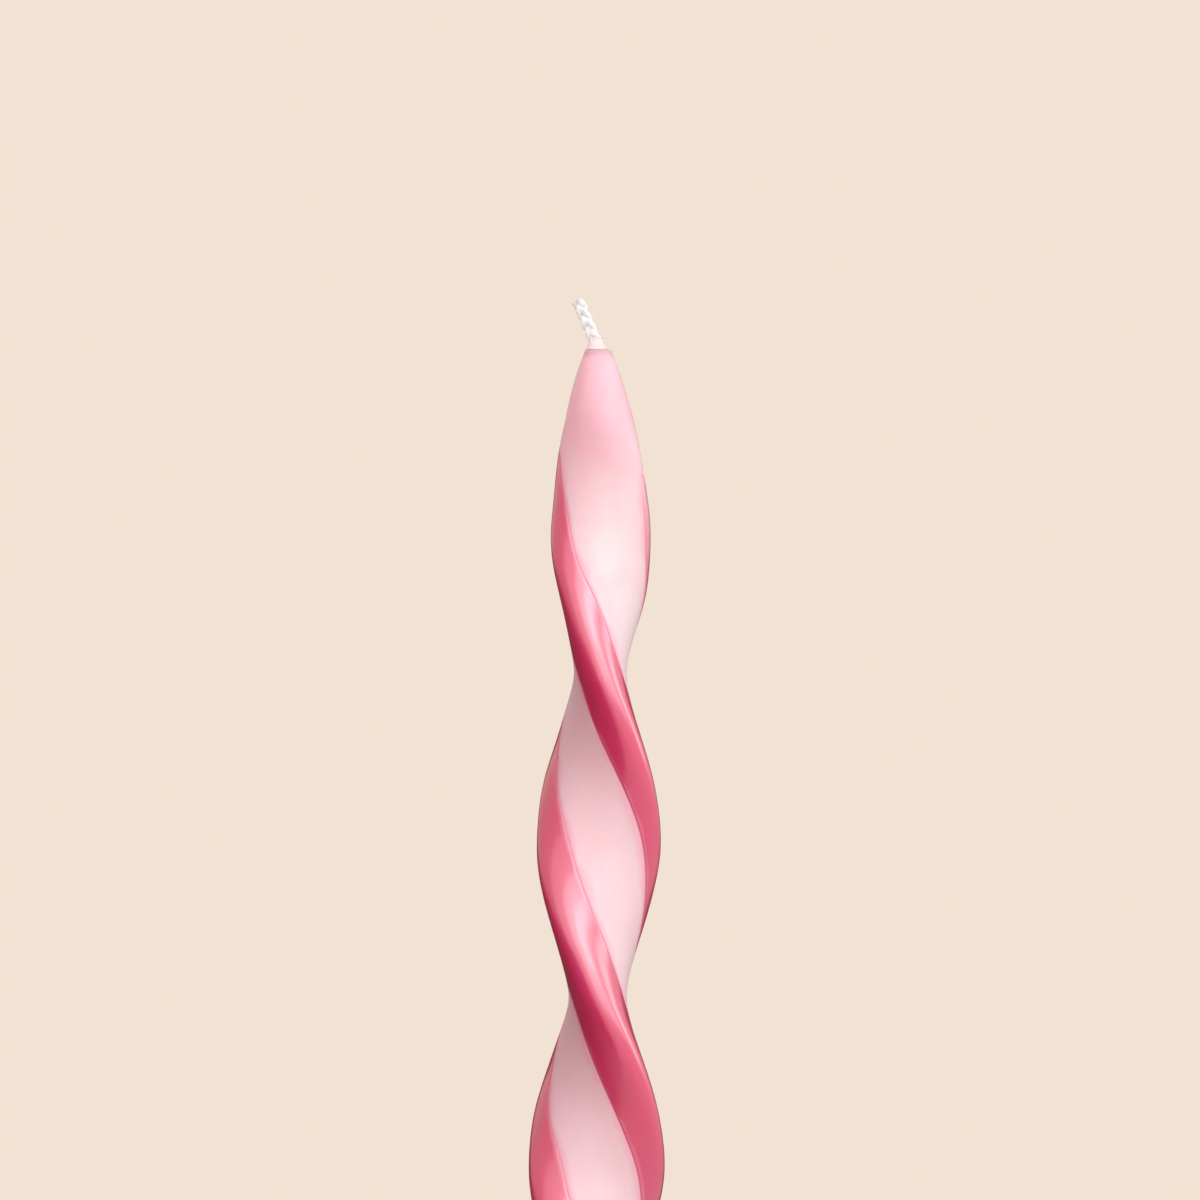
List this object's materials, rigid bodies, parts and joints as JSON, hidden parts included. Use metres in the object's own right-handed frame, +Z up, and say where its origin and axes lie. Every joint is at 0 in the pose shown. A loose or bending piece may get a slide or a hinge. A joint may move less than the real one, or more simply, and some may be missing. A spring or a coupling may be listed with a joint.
{
  "type": "spiral taper candle",
  "caption": "Two-tone twisted taper candle: a flattened wax ribbon in pale pink with dark pink edges, a round foot for a candlestick cup and a braided wick.",
  "frame": {"origin": "on the candle's axis, at the flat base of the foot", "axes": "+Z up along the candle's axis, towards the wick; the free wick leans towards -X; -Y is the pictured side"},
  "size_m": [0.0256, 0.0266, 0.2891],
  "materials": {
    "white_wax": "white wax, cut surface",
    "pale_wax": "pale pink candle wax, smooth semi-gloss",
    "dark_wax": "dark pink candle wax, smooth semi-gloss",
    "cotton": "flat braided cotton, lightly waxed"
  },
  "bodies": {
    "root": {"wax_core": "white_wax", "pale_jacket": "pale_wax", "dark_strip_1": "dark_wax", "dark_strip_2": "dark_wax", "wick": "cotton"}
  },
  "joints": []
}
